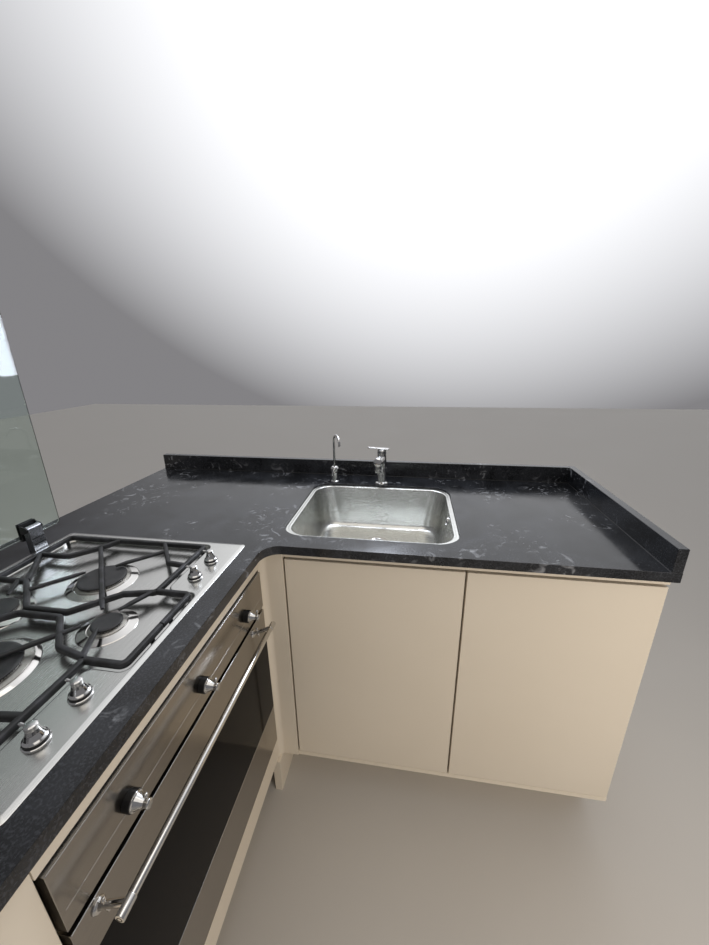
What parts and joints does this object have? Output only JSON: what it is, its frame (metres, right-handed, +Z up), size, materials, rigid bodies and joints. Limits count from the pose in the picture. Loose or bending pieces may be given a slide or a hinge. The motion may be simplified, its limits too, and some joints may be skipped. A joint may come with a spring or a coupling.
{
  "type": "barge galley unit",
  "caption": "L-shaped fitted boat galley: stone worktop over cupboards, with sunk sink and taps, gas hob under a glass lid, built-in oven and hinged doors.",
  "frame": {"origin": "on the floor, under the middle of the unit's bounding box", "axes": "+X along the wall worktop to its right-hand end, +Y to the wall behind the sink, +Z up"},
  "size_m": [1.62, 1.5, 1.47],
  "materials": {
    "stone": "polished near-black stone",
    "cream_paint": "satin cream paint on board",
    "cream_inside": "satin pale lining of board",
    "brushed_steel": "brushed stainless steel",
    "chrome": "polished chrome",
    "cast_iron": "matt black enamel on cast iron",
    "white_plastic": "white pipe plastic",
    "oven_enamel": "dark vitreous enamel",
    "clear_glass": "clear toughened glass",
    "black_plastic": "black plastic with chromed skirts",
    "black_glass": "black opaque glass"
  },
  "bodies": {
    "unit": {"worktop": "stone", "back_upstand": "stone", "side_upstand": "stone", "right_side_panel": "cream_paint", "front_rail": "cream_paint", "sink_plinth": "cream_paint", "corner_post": "cream_paint", "corner_foot": "cream_paint", "oven_top_rail": "cream_paint", "oven_bottom_rail": "cream_paint", "leg_plinth": "cream_paint", "leg_back_panel": "cream_paint", "end_panel": "cream_paint", "sink_partition": "cream_inside", "cupboard_floor": "cream_inside", "back_panel": "cream_inside", "oven_right_panel": "cream_inside", "oven_left_panel": "cream_inside", "oven_shelf": "cream_inside", "end_cupboard_floor": "cream_inside", "sink_bowl": "brushed_steel", "hob_tray": "brushed_steel", "burner_base_right": "brushed_steel", "burner_base_front": "brushed_steel", "burner_base_rear": "brushed_steel", "burner_base_left": "brushed_steel", "oven_panel": "brushed_steel", "sink_strainer": "chrome", "mixer_body": "chrome", "mixer_lever": "chrome", "filter_tap_body": "chrome", "hob_knob_1": "chrome", "hob_knob_2": "chrome", "hob_knob_3": "chrome", "hob_knob_4": "chrome", "oven_rack": "chrome", "lid_hinge_post_right": "chrome", "lid_hinge_post_left": "chrome", "burner_cap_right": "cast_iron", "burner_cap_front": "cast_iron", "burner_cap_rear": "cast_iron", "burner_cap_left": "cast_iron", "pan_support_right": "cast_iron", "pan_support_left": "cast_iron", "sink_trap": "white_plastic", "oven_body": "oven_enamel", "oven_knob_1": "black_plastic", "oven_knob_2": "black_plastic", "oven_knob_3": "black_plastic"},
    "sink_door": {"sink_door": "cream_paint"},
    "right_door": {"right_door": "cream_paint"},
    "end_door": {"end_door": "cream_paint"},
    "oven_door": {"oven_door": "brushed_steel", "oven_door_glass": "black_glass", "oven_handle": "chrome"},
    "mixer_spout": {"mixer_spout": "chrome"},
    "filter_tap_spout": {"filter_tap_spout": "chrome"},
    "glass_lid": {"glass_lid": "clear_glass", "lid_clip_right": "black_plastic", "lid_clip_left": "black_plastic"}
  },
  "joints": [
    {"name": "sink_door_hinge", "type": "hinge", "parent": "unit", "child": "sink_door", "pos_m": [0.365, 0.174, 0.5], "axis": [0, 0, 1], "range_deg": [0, 90]},
    {"name": "right_door_hinge", "type": "hinge", "parent": "unit", "child": "right_door", "pos_m": [0.807, 0.174, 0.5], "axis": [0, 0, 1], "range_deg": [0, 90]},
    {"name": "end_door_hinge", "type": "hinge", "parent": "unit", "child": "end_door", "pos_m": [-0.16, -0.725, 0.51], "axis": [0, 0, -1], "range_deg": [0, 90]},
    {"name": "oven_door_hinge", "type": "hinge", "parent": "unit", "child": "oven_door", "pos_m": [-0.16, -0.147, 0.229], "axis": [0, 1, 0], "range_deg": [0, 90]},
    {"name": "mixer_swivel", "type": "hinge", "parent": "unit", "child": "mixer_spout", "pos_m": [0.12, 0.651, 0.986], "axis": [0, 0, 1], "range_deg": [-70, 70]},
    {"name": "filter_tap_swivel", "type": "hinge", "parent": "unit", "child": "filter_tap_spout", "pos_m": [-0.056, 0.654, 0.958], "axis": [0, 0, 1], "range_deg": [-150, 150]},
    {"name": "glass_lid_hinge", "type": "hinge", "parent": "unit", "child": "glass_lid", "pos_m": [-0.696, -0.151, 0.957], "axis": [0, 1, 0], "range_deg": [0, 90]}
  ]
}
